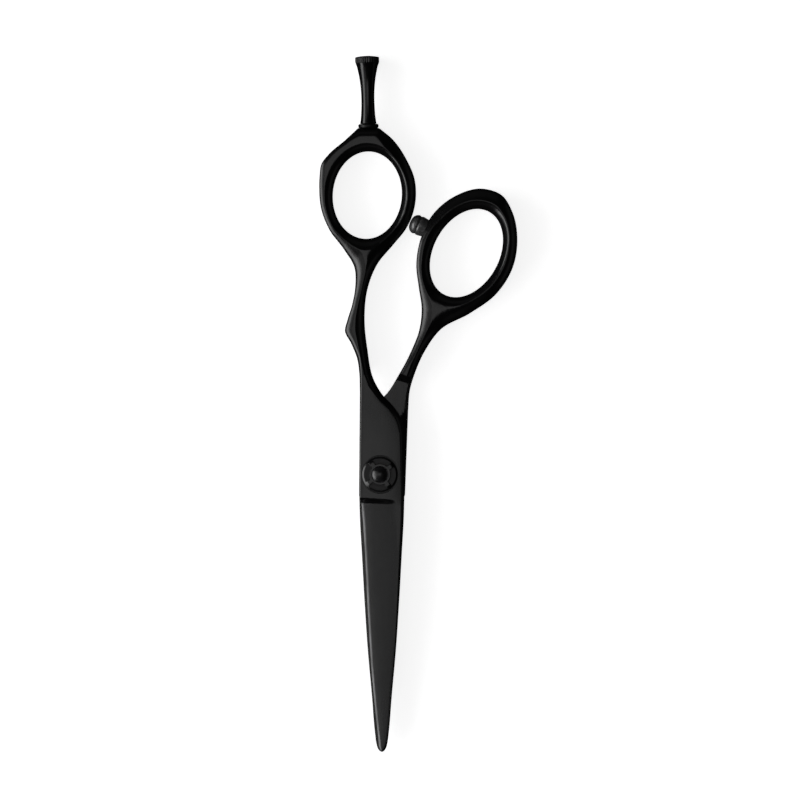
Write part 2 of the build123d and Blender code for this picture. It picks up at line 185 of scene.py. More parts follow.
def flank(distance, width, drop, power):
    """How far a surface has fallen at a distance from its rim.

    At the rim it has fallen by drop, and width further in by nothing.  Power 1 is a flat
    chamfer, power 2 a quarter of an ellipse.
    """
    inside = np.clip(1 - distance / width, 0, 1)
    return drop * (1 - (1 - inside**power) ** (1 / power))


def deeper(a, b, blend=0.25):
    """The larger of two falls, rounded where they are nearly equal."""
    near = np.clip(1 - np.abs(a - b) / blend, 0, 1)
    both = np.clip(np.minimum(a, b) / blend, 0, 1)
    return np.maximum(a, b) + near**2 * both * blend / 4


# %% [markdown]
# ### Rim by rim
# A polisher holds each rim to the wheel for a different time, so the flanks change along the
# shears.  Each table lists height y, then width, steepness and power of the flank there, and the rows
# are blended.  The flanks that face left are round and the others are nearly straight, which
# puts a crisp crease along each shank, left of its middle on the finger half.

# %% Flanks along the four rims
# each row: height y, width, steepness, power
ROUND, STRAIGHT = 1.5, 1.25
SPINE_RIM = [(-68.0, 0.25, 1.3, 1.1), (-60.0, 0.32, 1.3, 1.1), (-40.0, 0.45, 1.3, 1.15),
             (-20.0, 0.68, 1.3, 1.2), (-6.0, 0.85, 1.15, 1.25), (4.0, 1.1, 1.1, STRAIGHT)]
EDGE_RIM = [(-68.0, 0.02, 0.0, 1.5), (-6.4, 0.02, 0.0, 1.5), (-5.0, 0.5, 0.75, 1.6),
            (19.0, 0.55, 0.8, 1.6)]
RIMS = {
    "finger_left": EDGE_RIM + [
        (24.0, 0.6, 0.9, 1.6), (27.6, 0.75, 0.9, ROUND), (31.4, 1.1, 0.7, ROUND),
        (35.6, 1.9, 0.55, ROUND), (38.6, 1.5, 0.62, ROUND), (42.8, 1.2, 0.66, ROUND),
        (44.7, 1.45, 0.66, ROUND), (48.5, 2.3, 0.62, ROUND), (52.3, 3.4, 0.56, ROUND),
        (56.0, 2.4, 0.6, ROUND), (60.0, 1.4, 0.65, ROUND), (66.0, 1.3, 0.65, ROUND),
        (74.0, 1.25, 0.62, ROUND), (77.0, 0.9, 0.62, ROUND), (80.0, 0.75, 0.9, ROUND),
        (82.5, 1.0, 0.9, ROUND), (84.7, 1.8, 0.85, STRAIGHT)],
    "finger_right": SPINE_RIM + [
        (10.0, 1.35, 1.1, STRAIGHT), (13.0, 1.45, 1.05, STRAIGHT), (18.0, 1.4, 1.05, STRAIGHT),
        (22.0, 1.7, 1.0, STRAIGHT), (24.6, 1.85, 1.0, STRAIGHT), (27.6, 1.9, 1.0, STRAIGHT),
        (31.4, 2.1, 0.95, STRAIGHT), (35.6, 2.4, 0.9, STRAIGHT), (38.6, 2.15, 0.95, STRAIGHT),
        (42.8, 1.5, 1.1, STRAIGHT), (44.7, 1.35, 1.2, STRAIGHT), (48.5, 1.7, 1.1, STRAIGHT),
        (52.0, 2.8, 0.85, STRAIGHT), (54.5, 3.6, 0.7, STRAIGHT), (58.0, 3.4, 0.7, STRAIGHT),
        (63.0, 2.2, 0.9, STRAIGHT), (68.0, 2.0, 0.95, STRAIGHT), (74.0, 2.5, 0.85, STRAIGHT),
        (79.0, 3.0, 0.7, STRAIGHT), (82.0, 2.8, 0.7, STRAIGHT), (84.8, 1.8, 0.85, STRAIGHT)],
    "thumb_left": SPINE_RIM + [
        (17.0, 1.0, 1.2, 1.5), (22.0, 0.8, 1.0, ROUND), (24.5, 0.8, 0.8, ROUND),
        (26.8, 1.0, 0.7, ROUND), (29.5, 1.35, 0.66, ROUND), (33.0, 1.7, 0.64, ROUND),
        (36.7, 2.2, 0.62, ROUND), (40.2, 3.0, 0.55, ROUND), (43.8, 2.0, 0.6, ROUND),
        (47.3, 1.3, 0.66, ROUND), (50.8, 1.15, 0.66, ROUND), (56.9, 0.95, 0.7, ROUND),
        (60.0, 1.4, 0.8, 1.4), (64.0, 2.7, 0.7, STRAIGHT), (70.0, 3.3, 0.6, STRAIGHT)],
    "thumb_right": EDGE_RIM + [
        (22.0, 1.2, 1.1, STRAIGHT), (26.0, 1.4, 1.2, STRAIGHT), (30.0, 1.7, 1.1, STRAIGHT),
        (36.0, 2.8, 0.75, STRAIGHT), (40.0, 2.7, 0.75, STRAIGHT), (44.0, 2.2, 0.9, STRAIGHT),
        (50.0, 2.0, 0.95, STRAIGHT), (60.0, 2.0, 0.95, STRAIGHT), (66.0, 2.6, 0.75, STRAIGHT),
        (70.0, 3.3, 0.6, STRAIGHT)],
}


def rim_of(name, line):
    """An outline with its flank's width, drop and power at every vertex; drop = width * steepness."""
    y, *values = np.array(RIMS[name]).T
    width, steepness, power = [np.interp(line[:, 1], y, value) for value in values]
    return line, width, width * steepness, power


print("rim table rows:", {name: len(rows) for name, rows in RIMS.items()})


# %% [markdown]
# ### Finger and thumb holes
# Both holes are ellipses, leaning a little.  The surface slopes into them, and a grinder leaves that
# slope wider towards the shank than at the sides, so its width and drop go by direction.

# %% Finger and thumb holes
class Hole:
    """An elliptical hole: centre, half width, half length, lean, and a table of its slope."""

    def __init__(self, centre, radii, lean_deg, slopes):
        self.centre = np.array(centre)
        self.radii = radii
        self.lean = math.radians(lean_deg)
        self.slopes = np.array(slopes)      # direction in degrees, width, drop

    def radius(self, angle):
        """Distance from the centre to the rim in a direction: the polar form of an ellipse."""
        a = angle - self.lean
        return 1 / np.sqrt((np.cos(a) / self.radii[0]) ** 2 + (np.sin(a) / self.radii[1]) ** 2)

    def rim_at(self, angle):
        """Rim points in the given directions: centre + radius * (cos, sin)."""
        return self.centre + self.radius(angle)[:, None] * np.stack([np.cos(angle), np.sin(angle)], 1)

    def slope(self, points):
        """Width and drop of the slope into the hole in each point's direction."""
        offset = points - self.centre
        angle = np.degrees(np.arctan2(offset[:, 1], offset[:, 0]))
        directions, *values = self.slopes.T
        return [np.interp(angle, directions, value, period=360) for value in values]


finger_hole = Hole((-3.11, 68.39), (8.45, 10.73), -4.3, [
    (-150, 2.2, 1.9), (-110, 2.7, 2.0), (-88, 2.9, 2.0), (-60, 2.2, 1.9), (-20, 1.5, 1.9),
    (30, 1.45, 1.9), (60, 1.5, 1.9), (90, 1.9, 1.9), (135, 2.1, 1.9), (180, 2.1, 1.9)])
thumb_hole = Hole((21.17, 54.19), (8.02, 11.53), -28.7, [
    (-170, 1.95, 1.9), (-145, 2.5, 1.9), (-128, 2.9, 1.9), (-105, 2.2, 1.8), (-60, 1.6, 1.8),
    (-20, 1.45, 2.2), (5, 1.4, 2.2), (35, 1.6, 2.1), (60, 2.1, 2.0), (90, 2.7, 2.0), (140, 2.5, 1.9)])
print("hole radii, mm:", finger_hole.radii, thumb_hole.radii)


# %% [markdown]
# ### The long grid
# Rows run across shank, plate and blade, from a left rim point to a right rim point.  Six guide
# lines run down the half: left rim, end of the left flank, middle, start of the flat strip beside
# the spine, start of the right flank, right rim.  Columns are laid between the guides, bunched
# towards the rims, so every bevel's edge has a line of vertices exactly on it.

# %% Rows and columns
def row_heights(stations):
    """Left and right heights of every row, from stations (left y, right y, rows to the next)."""
    left, right = [], []
    for (l0, r0, rows), (l1, r1, _) in zip(stations, stations[1:]):
        u = np.arange(rows) / rows
        left.append(l0 + (l1 - l0) * u)
        right.append(r0 + (r1 - r0) * u)
    left.append([stations[-1][0]])
    right.append([stations[-1][1]])
    return np.concatenate(left), np.concatenate(right)


def columns(guides, counts):
    """Column positions between guide lines; first and last gaps are bunched towards the rim."""
    out = []
    last = len(counts) - 1
    for k, count in enumerate(counts):
        u = np.arange(count) / count
        if k == 0:
            u = 1 - np.cos(u * np.pi / 2)
        if k == last:
            u = np.sin(u * np.pi / 2)
        out.append(guides[k][:, None] + (guides[k + 1] - guides[k])[:, None] * u[None, :])
    out.append(guides[-1][:, None])
    return np.concatenate(out, axis=1)


def at_height(line, y):
    """x of an outline at heights y; each outline rises or falls steadily in y."""
    order = np.argsort(line[:, 1], kind="stable")
    return np.interp(y, line[order, 1], line[order, 0])


def slant(line):
    """How much a width measured square to the outline grows when measured along x."""
    along = np.gradient(line, axis=0)
    along /= np.linalg.norm(along, axis=1)[:, None] + 1e-9
    return 1 / np.clip(np.abs(along[:, 1]), 0.5, 1)


# %% [markdown]
# ### The blade's ground face
# From the ridge beside the spine the face falls to a narrow bevel along the cutting edge.  The
# slope begins with a short ramp just below the pivot.  It keeps the same steepness while the blade
# narrows, so the blade also gets thinner towards the tip.  A very slight roundness of the face is
# what barbers call a convex blade.  All of it is written in the finger half's x.

# %% Depth of the blade
EDGE_BEVEL = 0.38                 # width of the fine bevel along the cutting edge
EDGE_BEVEL_DROP = 0.30
FACE_STEEPNESS = 0.33
ROOT_LIP = 0.06
STRIP_TABLE = [(-68.0, 0.3), (-18.0, 0.5), (-9.0, 1.2), (0.0, 1.25)]


def strip_width(y):
    """Width of the flat strip between ridge and spine flank."""
    heights, widths = np.array(STRIP_TABLE).T
    return np.interp(y, heights, widths)


def blade_depth(x, y, spine_flank):
    """Depth of the blade's outer face: thinning, round slope from ridge to bevel, then the bevel."""
    edge_x = at_height(edge_curve, y)
    spine_x = at_height(spine_curve, y)
    ridge_x = spine_x - spine_flank - strip_width(y)
    bevel_x = edge_x + EDGE_BEVEL
    face_end = HALF - RIDE_GAP - EDGE_BEVEL_DROP - 0.04
    thinning = np.clip(face_end - FACE_STEEPNESS * np.maximum(ridge_x - bevel_x, 0), 0, face_end)
    across = np.clip((ridge_x - x) / np.maximum(ridge_x - bevel_x, 0.05), 0, 1)
    over_edge = np.clip((bevel_x - x) / EDGE_BEVEL, 0, 1)
    ramp = step(-y, 6.15 - 0.5 * across, 7.5 - 0.3 * across)
    lip = ROOT_LIP * step(ridge_x - x, 0.0, 0.5) * (1 - step(-y, 8.0, 16.0))
    fall = (face_end - thinning - lip) * (0.75 * across + 0.25 * across**2)
    return thinning * step(-y, 6.0, 9.0) + ramp * (lip + fall + over_edge * EDGE_BEVEL_DROP)


# %% [markdown]
# ### Putting a half together
# Four short steps: lay the long grid, lay the ring grid so that it shares the long grid's first
# row, work out how deep both sheets lie, then join the sheets with walls.  The formulas give
# depths, so one function makes the upper half and, turned over, the lower one.

# %% Meshes from arrays
def mesh_from(name, points_mm, faces):
    """A mesh from points in millimetres and faces, smooth shaded."""
    mesh = bpy.data.meshes.new(name)
    mesh.from_pydata((np.asarray(points_mm) * MM).tolist(), [], faces)
    mesh.polygons.foreach_set("use_smooth", np.ones(len(mesh.polygons), bool))
    mesh.update()
    return mesh


def tidy_normals(mesh, merge=1e-7):
    """Merges doubled vertices and turns every face outwards."""
    work = bmesh.new()
    work.from_mesh(mesh)
    bmesh.ops.remove_doubles(work, verts=work.verts, dist=merge)
    bmesh.ops.recalc_face_normals(work, faces=work.faces)
    work.to_mesh(mesh)
    work.free()


def grid_faces(index, closed=False):
    """Quads over a grid of vertex numbers, turning from the second direction to the first."""
    following = np.roll(index, -1, axis=0) if closed else index[1:]
    here = index if closed else index[:-1]
    return np.stack([here[:, :-1], here[:, 1:], following[:, 1:], following[:, :-1]], -1).reshape(-1, 4)


# %% The long grid
COLUMN_COUNTS = (8, 8, 8, 5, 10)


def flank_width(rim, rows):
    """Width of a rim's flank measured along x, at the heights of the rows."""
    line, width = rim[:2]
    return at_height(np.stack([width * slant(line), line[:, 1]], 1), rows)


def long_grid(left_rim, right_rim, stations, spine_on_right):
    """x and y of the long grid: columns laid between six guide lines on rows from rim to rim.

    A row's y goes evenly from its left height to its right height.
    """
    row_left, row_right = row_heights(stations)
    x_left, x_right = at_height(left_rim[0], row_left), at_height(right_rim[0], row_right)
    width = x_right - x_left
    bevel = EDGE_BEVEL * (row_left < -6.5)
    flank_left = np.maximum(flank_width(left_rim, row_left), bevel if spine_on_right else 0)
    flank_right = np.maximum(flank_width(right_rim, row_right), 0 if spine_on_right else bevel)
    squeeze = np.minimum(1, 0.86 * width / (flank_left + flank_right))
    inner_left, inner_right = x_left + flank_left * squeeze, x_right - flank_right * squeeze
    strip = np.minimum(strip_width(row_left), 0.3 * (inner_right - inner_left))
    if spine_on_right:
        ridge = inner_right - strip
        inside = [(inner_left + ridge) / 2, ridge]
    else:
        ridge = inner_left + strip
        inside = [ridge, (inner_right + ridge) / 2]
    counts = COLUMN_COUNTS if spine_on_right else COLUMN_COUNTS[::-1]
    x = columns([x_left, inner_left, *inside, inner_right, x_right], counts)
    share = (x - x_left[:, None]) / width[:, None]
    return x, row_left[:, None] + (row_right - row_left)[:, None] * share


# %% The ring grid
RING_STEPS = 26
RING_SILHOUETTE = 190


def ring_grid(x, y, left, right, hole):
    """Spokes from the hole's rim to the outline, then to the long grid's first row.

    Along a spoke the points go as (1 - cos) / 2, bunched at both ends.
    """
    outline = chain(left, right)
    polar = outline - hole.centre
    angle = np.arctan2(polar[:, 1], polar[:, 0])
    reach = np.linalg.norm(polar, axis=1)
    ends = np.array([[x[0, -1], y[0, -1]], [x[0, 0], y[0, 0]]])
    right_angle, left_angle = np.arctan2(*(ends - hole.centre).T[::-1])
    left_angle = left_angle % (2 * np.pi)
    angle = np.where(angle < right_angle - 1e-3, angle + 2 * np.pi, angle)
    ringed = outline[:, 1] > min(y[0, 0], y[0, -1]) - 2
    order = np.argsort(angle[ringed])
    turn = np.linspace(right_angle, left_angle, RING_SILHOUETTE)
    outer = np.interp(turn, angle[ringed][order], reach[ringed][order])
    outer_points = hole.centre + outer[:, None] * np.stack([np.cos(turn), np.sin(turn)], 1)
    outer_points[0], outer_points[-1] = ends
    outer_points = np.concatenate([outer_points, np.stack([x[0, 1:-1], y[0, 1:-1]], 1)])
    inner_points = hole.rim_at(np.arctan2(*(outer_points - hole.centre).T[::-1]))
    u = (1 - np.cos(np.linspace(0, np.pi, RING_STEPS + 1))) / 2
    return inner_points[:, None, :] + (outer_points - inner_points)[:, None, :] * u[None, :, None]


# %% Depth of both sheets
STEP_RAMP = 1.65                  # length of the ramp from plate up to the full shank
HOLE_POWER = 1.35
PLATE_CROWN = 0.26


def outer_depth(points, left_rim, right_rim, hole, spine_on_right):
    """Depth of the outer face and its fall alone.

    fall = the deepest of left flank, right flank and slope into the hole; depth = fall
    + crown + blade, where crown = PLATE_CROWN * (distance from middle / half width)^2.
    """
    px, py = points.T
    left, right = left_rim[0], right_rim[0]
    d_left, near_left = to_polyline(points, left)
    d_right, near_right = to_polyline(points, right)
    d_hole, _ = to_polyline(points, hole.rim_at(np.linspace(0, 2 * np.pi, 900)))
    fall_left = flank(d_left, *[value[near_left] for value in left_rim[1:]])
    fall_right = flank(d_right, *[value[near_right] for value in right_rim[1:]])
    fall_hole = flank(d_hole, *hole.slope(points), HOLE_POWER)
    fall = deeper(deeper(fall_left, fall_right, 0.12), fall_hole, 0.12)
    middle = (at_height(left, py) + at_height(right, py)) / 2
    half_width = np.maximum((at_height(right, py) - at_height(left, py)) / 2, 1)
    on_plate = step(py, -8.5, -5.0) * (1 - step(py, 30.0, 40.0))
    crown = PLATE_CROWN * ((px - middle) / half_width) ** 2 * on_plate
    spine_flank = right_rim[1][near_right] if spine_on_right else left_rim[1][near_left]
    blade = blade_depth(px if spine_on_right else 2 * MID_X - px, py, spine_flank) * (py < -5)
    return fall + crown + blade, fall, d_left, d_right


def inner_depth(points, fall, d_left, d_right, step_line, spine_on_right):
    """Depth of the inner face: ride plane, then a hollow ramp up to the full shank.

    ramp = 0.45 u + 0.55 (1 - sqrt(1 - u^2)), where u is the rise above the step line.
    """
    px, py = points.T
    (x0, y0), (x1, y1) = step_line
    tilt = (y1 - y0) / (x1 - x0)
    u = np.clip((py - y0 - (px - x0) * tilt) / math.hypot(1, tilt) / STEP_RAMP, 0, 1)
    ramp = 0.45 * u + 0.55 * (1 - np.sqrt(1 - u**2))
    above = step(py, 24.0, 30.0)
    own_fall = deeper(flank(d_left, 0.9, 0.7, ROUND), flank(d_right, 1.7, 1.8, STRAIGHT), 0.12)
    underside = own_fall * (1 - above) + fall * above
    plate = HALF - RIDE_GAP
    shoulder = 0.0
    if not spine_on_right:
        shoulder_width = np.interp(py, [13.4, 15.8], [2.5, 0.7])
        shoulder = flank(d_right, shoulder_width, 0.9, 1.5) * step(py, -5.0, -2.0)
    return plate - shoulder + ramp * (FULL - underside - plate + shoulder)


# %% Joining the sheets
def joined(name, points, high, low, bare, ring_index, long_index):
    """One closed mesh: upper sheet, lower sheet turned over, walls round outline and hole."""
    upper = np.concatenate([grid_faces(ring_index, closed=True), grid_faces(long_index)])
    loop = np.concatenate([ring_index[:RING_SILHOUETTE, -1], long_index[1:, 0],
                           long_index[-1, 1:], long_index[-2:0:-1, -1]])
    count = len(points)
    walls = []
    for line in (loop, ring_index[::-1, 0]):
        after = np.roll(line, -1)
        walls.append(np.stack([line, line + count, after + count, after], 1))
    faces = np.concatenate([upper, upper[:, ::-1] + count, *walls])
    sheets = np.concatenate([np.column_stack([points, high]), np.column_stack([points, low])])
    mesh = mesh_from(name, sheets, faces.tolist())
    mark = mesh.attributes.new("bare_edge", "FLOAT", "POINT")
    mark.data.foreach_set("value", np.concatenate([bare, bare]).astype(float))
    tidy_normals(mesh)
    print(name, "vertices:", len(mesh.vertices), "faces:", len(mesh.polygons))
    return mesh


def make_half(name, side, left, right, hole, stations, step_line, spine_on_right):
    """The mesh of one half, laid out on a ring grid and a long grid that share a row."""
    left_rim, right_rim = rim_of(side + "_left", left), rim_of(side + "_right", right)
    x, y = long_grid(left_rim, right_rim, stations, spine_on_right)
    ring = ring_grid(x, y, left, right, hole)
    rows, cols = x.shape
    spokes = len(ring)
    ring_index = np.arange(spokes * (RING_STEPS + 1)).reshape(spokes, -1)
    first = np.concatenate([[RING_SILHOUETTE - 1], np.arange(RING_SILHOUETTE, spokes), [0]])
    rest_index = ring_index.size + np.arange((rows - 1) * cols).reshape(rows - 1, cols)
    long_index = np.concatenate([ring_index[first, -1][None, :], rest_index])
    points = np.concatenate([ring.reshape(-1, 2), np.stack([x[1:], y[1:]], -1).reshape(-1, 2)])

    outer, fall, d_left, d_right = outer_depth(points, left_rim, right_rim, hole, spine_on_right)
    inner = inner_depth(points, fall, d_left, d_right, step_line, spine_on_right)
    outer = np.minimum(outer, inner - 0.05)
    high, low = (FULL - outer, FULL - inner) if spine_on_right else (inner, outer)
    px, py = points.T
    blade_x = px if spine_on_right else 2 * MID_X - px
    bare = (blade_x < at_height(edge_curve, py) + EDGE_BEVEL + 1e-3) & (py < -6.9)
    return joined(name, points, high, low, bare, ring_index, long_index)


# %% Rows and steps of both halves
# each station: left height, right height, rows down to the next station
BLADE_STATIONS = [(-4.4, -4.4, 8), (-5.6, -5.6, 18), (-7.6, -7.6, 70), (-60.0, -60.0, 18),
                  (-67.0, -67.0, 8), (-67.9, -67.9, 1), (-67.98, -67.98, 0)]
FINGER_STATIONS = [(55.05, 54.0, 12), (50.0, 50.0, 34), (35.2, 35.2, 22), (26.0, 27.6, 6),
                   (24.4, 25.8, 10), (22.8, 24.2, 10), (19.5, 19.5, 24),
                   (10.0, 10.0, 26)] + BLADE_STATIONS
THUMB_STATIONS = [(45.4, 38.1, 14), (39.0, 34.8, 12), (32.0, 30.0, 18), (26.0, 24.9, 5),
                  (24.8, 23.5, 10), (23.1, 22.0, 8), (19.3, 19.5, 6), (17.0, 17.0, 18),
                  (10.0, 10.0, 26)] + BLADE_STATIONS
FINGER_STEP = [(-8.0, 21.6), (2.0, 25.6)]      # two points on the foot of the ramp
THUMB_STEP = [(-8.0, 27.6), (16.0, 18.8)]
finger_mesh = make_half("finger_half_forging", "finger", finger_left, finger_right, finger_hole,
                        FINGER_STATIONS, FINGER_STEP, spine_on_right=True)
thumb_mesh = make_half("thumb_half_forging", "thumb", thumb_left, thumb_right, thumb_hole,
                       THUMB_STATIONS, THUMB_STEP, spine_on_right=False)


# %% [markdown]
# ## Turned pieces and cutters
# Anything turned on a lathe is a profile carried round an axis.  The same function makes the
# cutters that bore the pivot pocket, so the holes are exactly round.

# %% A profile turned about an axis
def turned(profile, sides=96, origin=(0, 0, 0), axis=(0, 0, 1), wave=None):
    """Points and faces of a profile of (radius, height) turned about an axis.

    Each profile point goes round a circle of its radius.  wave(angle, radius, height) may add to
    the radius.  The two ends lie on the axis and close into a single point each.
    """
    prof = np.array(profile, float)
    angle = np.arange(sides) * 2 * np.pi / sides
    radius = prof[1:-1, 0][:, None] * np.ones(sides)[None, :]
    height = prof[1:-1, 1][:, None] * np.ones(sides)[None, :]
    if wave is not None:
        radius = radius + wave(angle[None, :], radius, height)
    w = np.array(axis, float) / np.linalg.norm(axis)
    side = np.cross(w, (0.0, 0.0, 1.0)) if abs(w[2]) < 0.9 else np.array([1.0, 0.0, 0.0])
    side /= np.linalg.norm(side)
    other = np.cross(w, side)
    cosine, sine = np.cos(angle)[None, :, None], np.sin(angle)[None, :, None]
    body = radius[..., None] * (cosine * side + sine * other) + height[..., None] * w
    ends = [prof[0, 1] * w, prof[-1, 1] * w]
    points = np.concatenate([body.reshape(-1, 3), ends]) + np.array(origin)
    index = np.arange(body.shape[0] * sides).reshape(-1, sides)
    after = np.roll(index, -1, axis=1)
    quads = np.stack([index[:-1], after[:-1], after[1:], index[1:]], -1).reshape(-1, 4)
    bottom = np.full(sides, index.size)
    caps = np.concatenate([np.stack([bottom, after[0], index[0]], 1),
                           np.stack([bottom + 1, index[-1], after[-1]], 1)])
    return points, quads.tolist() + caps.tolist()


def new_piece(name, mesh, body):
    """An object at the origin that rides on a body."""
    piece = bpy.data.objects.new(name, mesh)
    bpy.context.collection.objects.link(piece)
    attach(piece, body)
    return piece


def cut(piece, *cutters):
    """Bores a piece with turned cutters, one boolean after another, and applies each."""
    for profile, options in cutters:
        points, faces = turned(profile, **options)
        tool = bpy.data.objects.new("cutter", mesh_from("cutter", points, faces))
        bpy.context.collection.objects.link(tool)
        modifier = piece.modifiers.new("bore", "BOOLEAN")
        modifier.operation, modifier.solver, modifier.object = "DIFFERENCE", "EXACT", tool
        bpy.context.view_layer.update()
        graph = bpy.context.evaluated_depsgraph_get()
        bored = piece.evaluated_get(graph)
        result = bpy.data.meshes.new_from_object(bored, preserve_all_data_layers=True, depsgraph=graph)
        piece.modifiers.clear()
        old, piece.data = piece.data, result
        bpy.data.meshes.remove(old)
        bpy.data.objects.remove(tool)
    print(piece.name, "after boring:", len(piece.data.vertices), "vertices")


# %% [markdown]
# ### Pivot and holes for the small parts
# On the bench the pivot is bored last, through the finished forging, and so it is here.  A pocket
# is one turned cutter: the dial's seat in the finger half, the bolt head's seat, square neck and
# bearing seat in the thumb half, and small bores for the finger rest and the bumper.

# %% Cutters
REST_LEAN = math.radians(1.1)
REST_AXIS = (-math.sin(REST_LEAN), math.cos(REST_LEAN), 0.0)
BUMPER_SEAT = (11.55, 60.1)
BUMPER_AIM = math.radians(156.5)
BUMPER_AXIS = (math.cos(BUMPER_AIM), math.sin(BUMPER_AIM), 0.0)
at_rest = {"sides": 32, "origin": (*SEAT, HALF), "axis": REST_AXIS}
at_bumper = {"sides": 32, "origin": (*BUMPER_SEAT, HALF), "axis": BUMPER_AXIS}
DIAL_POCKET = [(0, 2.0), (3.22, 2.0), (3.22, 3.9), (4.6, 3.9), (4.6, 5.88), (4.8, 6.08),
               (4.8, 8.0), (0, 8.0)]
HEAD_POCKET = [(0, -1.0), (4.15, -1.0), (4.15, 0.0), (4.02, 0.13), (4.02, 1.0), (3.3, 1.0),
               (3.3, 2.2), (2.56, 2.2), (2.56, 2.72), (4.7, 2.72), (4.7, 4.0), (0, 4.0)]
REST_BORE = [(0, -3.6), (1.05, -3.6), (1.05, 2.0), (0, 2.0)]
BUMPER_BORE = [(0, -2.5), (1.02, -2.5), (1.02, 2.0), (0, 2.0)]

# %% The two halves as pieces
finger_piece = new_piece("finger_half_forging", finger_mesh, "finger_side")
cut(finger_piece, (DIAL_POCKET, {}), (REST_BORE, at_rest))
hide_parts("finger_half")
thumb_piece = new_piece("thumb_half_forging", thumb_mesh, "thumb_side")
cut(thumb_piece, (HEAD_POCKET, {}), (BUMPER_BORE, at_bumper))
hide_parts("thumb_half")

# %% Crisp edges on plates and blades only
CRISP_ANGLE = math.radians(12)
HANDLE_FROM = 27.0                # above this height the handles are polished soft


def crisp_below(mesh, height):
    """Marks edges sharper than CRISP_ANGLE, and unmarks those whose two ends lie above height."""
    mesh.set_sharp_from_angle(angle=CRISP_ANGLE)
    places = np.empty(len(mesh.vertices) * 3)
    mesh.vertices.foreach_get("co", places)
    pairs = np.empty(len(mesh.edges) * 2, int)
    mesh.edges.foreach_get("vertices", pairs)
    on_handle = places.reshape(-1, 3)[:, 1][pairs.reshape(-1, 2)].min(axis=1) > height * MM
    crisp = np.empty(len(mesh.edges), bool)
    mesh.attributes["sharp_edge"].data.foreach_get("value", crisp)
    mesh.attributes["sharp_edge"].data.foreach_set("value", crisp & ~on_handle)
    return int((crisp & ~on_handle).sum())


for piece in (finger_piece, thumb_piece):
    print(piece.name, "crisp edges:", crisp_below(piece.data, HANDLE_FROM))

# %% [markdown]
# ## Finger rest
# The rest is a turned black pin: a waisted stem that flares to a knurled rim with a low domed end.
# It could be turned in CAD too, but the knurl is easier as a ripple on the profile's radius.
# Between the rest and the ring sits a soft collar.

# %% Finger rest
def smooth_profile(points, spacing=0.12):
    """A profile drawn as a smooth curve, with its radius never below zero."""
    line = through(points, spacing)
    line[:, 0] = np.maximum(line[:, 0], 0.0)
    return line


def arc(radius_at, height_at, radius, start_deg, end_deg, count=8):
    """A rounded corner: points centre + radius * (cos, sin) between two angles."""
    a = np.radians(np.linspace(start_deg, end_deg, count))
    return np.stack([radius_at + radius * np.cos(a), height_at + radius * np.sin(a)], 1)


KNURL_RIDGES = 30


def knurl(angle, radius, height):
    """Grooves between rounded ridges on the rest's rim, fading out below it."""
    groove = (0.5 + 0.5 * np.cos(KNURL_RIDGES * angle)) ** 3
    return -0.15 * groove * step(height, 15.9, 16.3) * (1 - step(height, 17.45, 17.6))


stem = smooth_profile([(2.0, 1.17), (1.8, 2.6), (1.66, 4.6), (1.6, 7.1), (1.68, 9.6), (1.95, 12.1),
                       (2.36, 14.3), (2.62, 15.35), (2.8, 15.8)])
crown_end = chain(arc(2.72, 16.2, 0.22, -60, 0), arc(2.66, 17.22, 0.28, 0, 60),
                  [(2.3, 17.55), (1.6, 17.66), (0.8, 17.73), (0.0, 17.75)])
rest_profile = chain([(0.0, -3.1), (0.85, -3.1), (1.0, -2.95), (1.0, 1.17)], stem, crown_end)
rest_mesh = mesh_from("finger_rest_turned", *turned(rest_profile, 360, (*SEAT, HALF), REST_AXIS, knurl))
rest_piece = new_piece("finger_rest_turned", rest_mesh, "rest")
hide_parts("finger_rest")
print("knurl ridges:", KNURL_RIDGES, "rest vertices:", len(rest_mesh.vertices))

# %% Collar under the rest
collar_profile = chain([(1.04, 0.05)], arc(2.12, 0.4, 0.35, -90, 0),
                       arc(2.12, 0.68, 0.38, 0, 90), [(1.04, 1.08)])
collar_profile = np.concatenate([collar_profile, collar_profile[:1]])


def ring_of(name, outline, origin, axis, sides=120):
    """A ring: a closed outline of (radius, height) turned about an axis, with no poles."""
    pole = outline[:1] * [0, 1]
    points, faces = turned(np.concatenate([pole, outline, pole]), sides, origin, axis)
    count = len(points) - 2
    faces = [face for face in faces if max(face) < count]
    return mesh_from(name, points[:count], faces)


collar_mesh = ring_of("rest_collar", collar_profile, (*SEAT, HALF), REST_AXIS)
tidy_normals(collar_mesh)
collar = new_piece("rest_collar", collar_mesh, "rest_carrier")
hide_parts("finger_rest_washer")
print("collar vertices:", len(collar_mesh.vertices))

# %% [markdown]
# ## Bumper
# A rubber button pressed into the thumb ring quietens the closing blades.  It is turned like the
# rest: a broad body, a shallow groove and a domed end, as moulded buttons have.

# %% Bumper
bumper_line = smooth_profile([(2.1, 0.1), (2.2, 0.4), (2.27, 0.9), (2.34, 1.35), (2.38, 1.75),
                              (2.36, 2.1), (2.22, 2.4), (2.35, 2.68), (2.38, 2.95), (2.2, 3.5),
                              (1.8, 4.0), (1.2, 4.33), (0.6, 4.46), (0.0, 4.5)], 0.08)
bumper_profile = chain([(0.0, -2.1), (0.9, -2.1), (0.98, -2.0), (0.98, 0.02), (2.0, 0.02)], bumper_line)
bumper_mesh = mesh_from("bumper_button", *turned(bumper_profile, 96, (*BUMPER_SEAT, HALF), BUMPER_AXIS))
bumper_piece = new_piece("bumper_button", bumper_mesh, "thumb_side")
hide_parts("bumper")
print("bumper diameter, mm:", round(2 * bumper_profile[:, 0].max(), 2))

# %% [markdown]
# ## Pivot bolt
# The bolt is turned: a flush head with a slot, a square neck that keeps it from turning in the
# thumb half, a journal, and a shank that ends in a polished dome inside the dial.  Square and
# flats are the same turned grid with its radius limited in four or two directions.

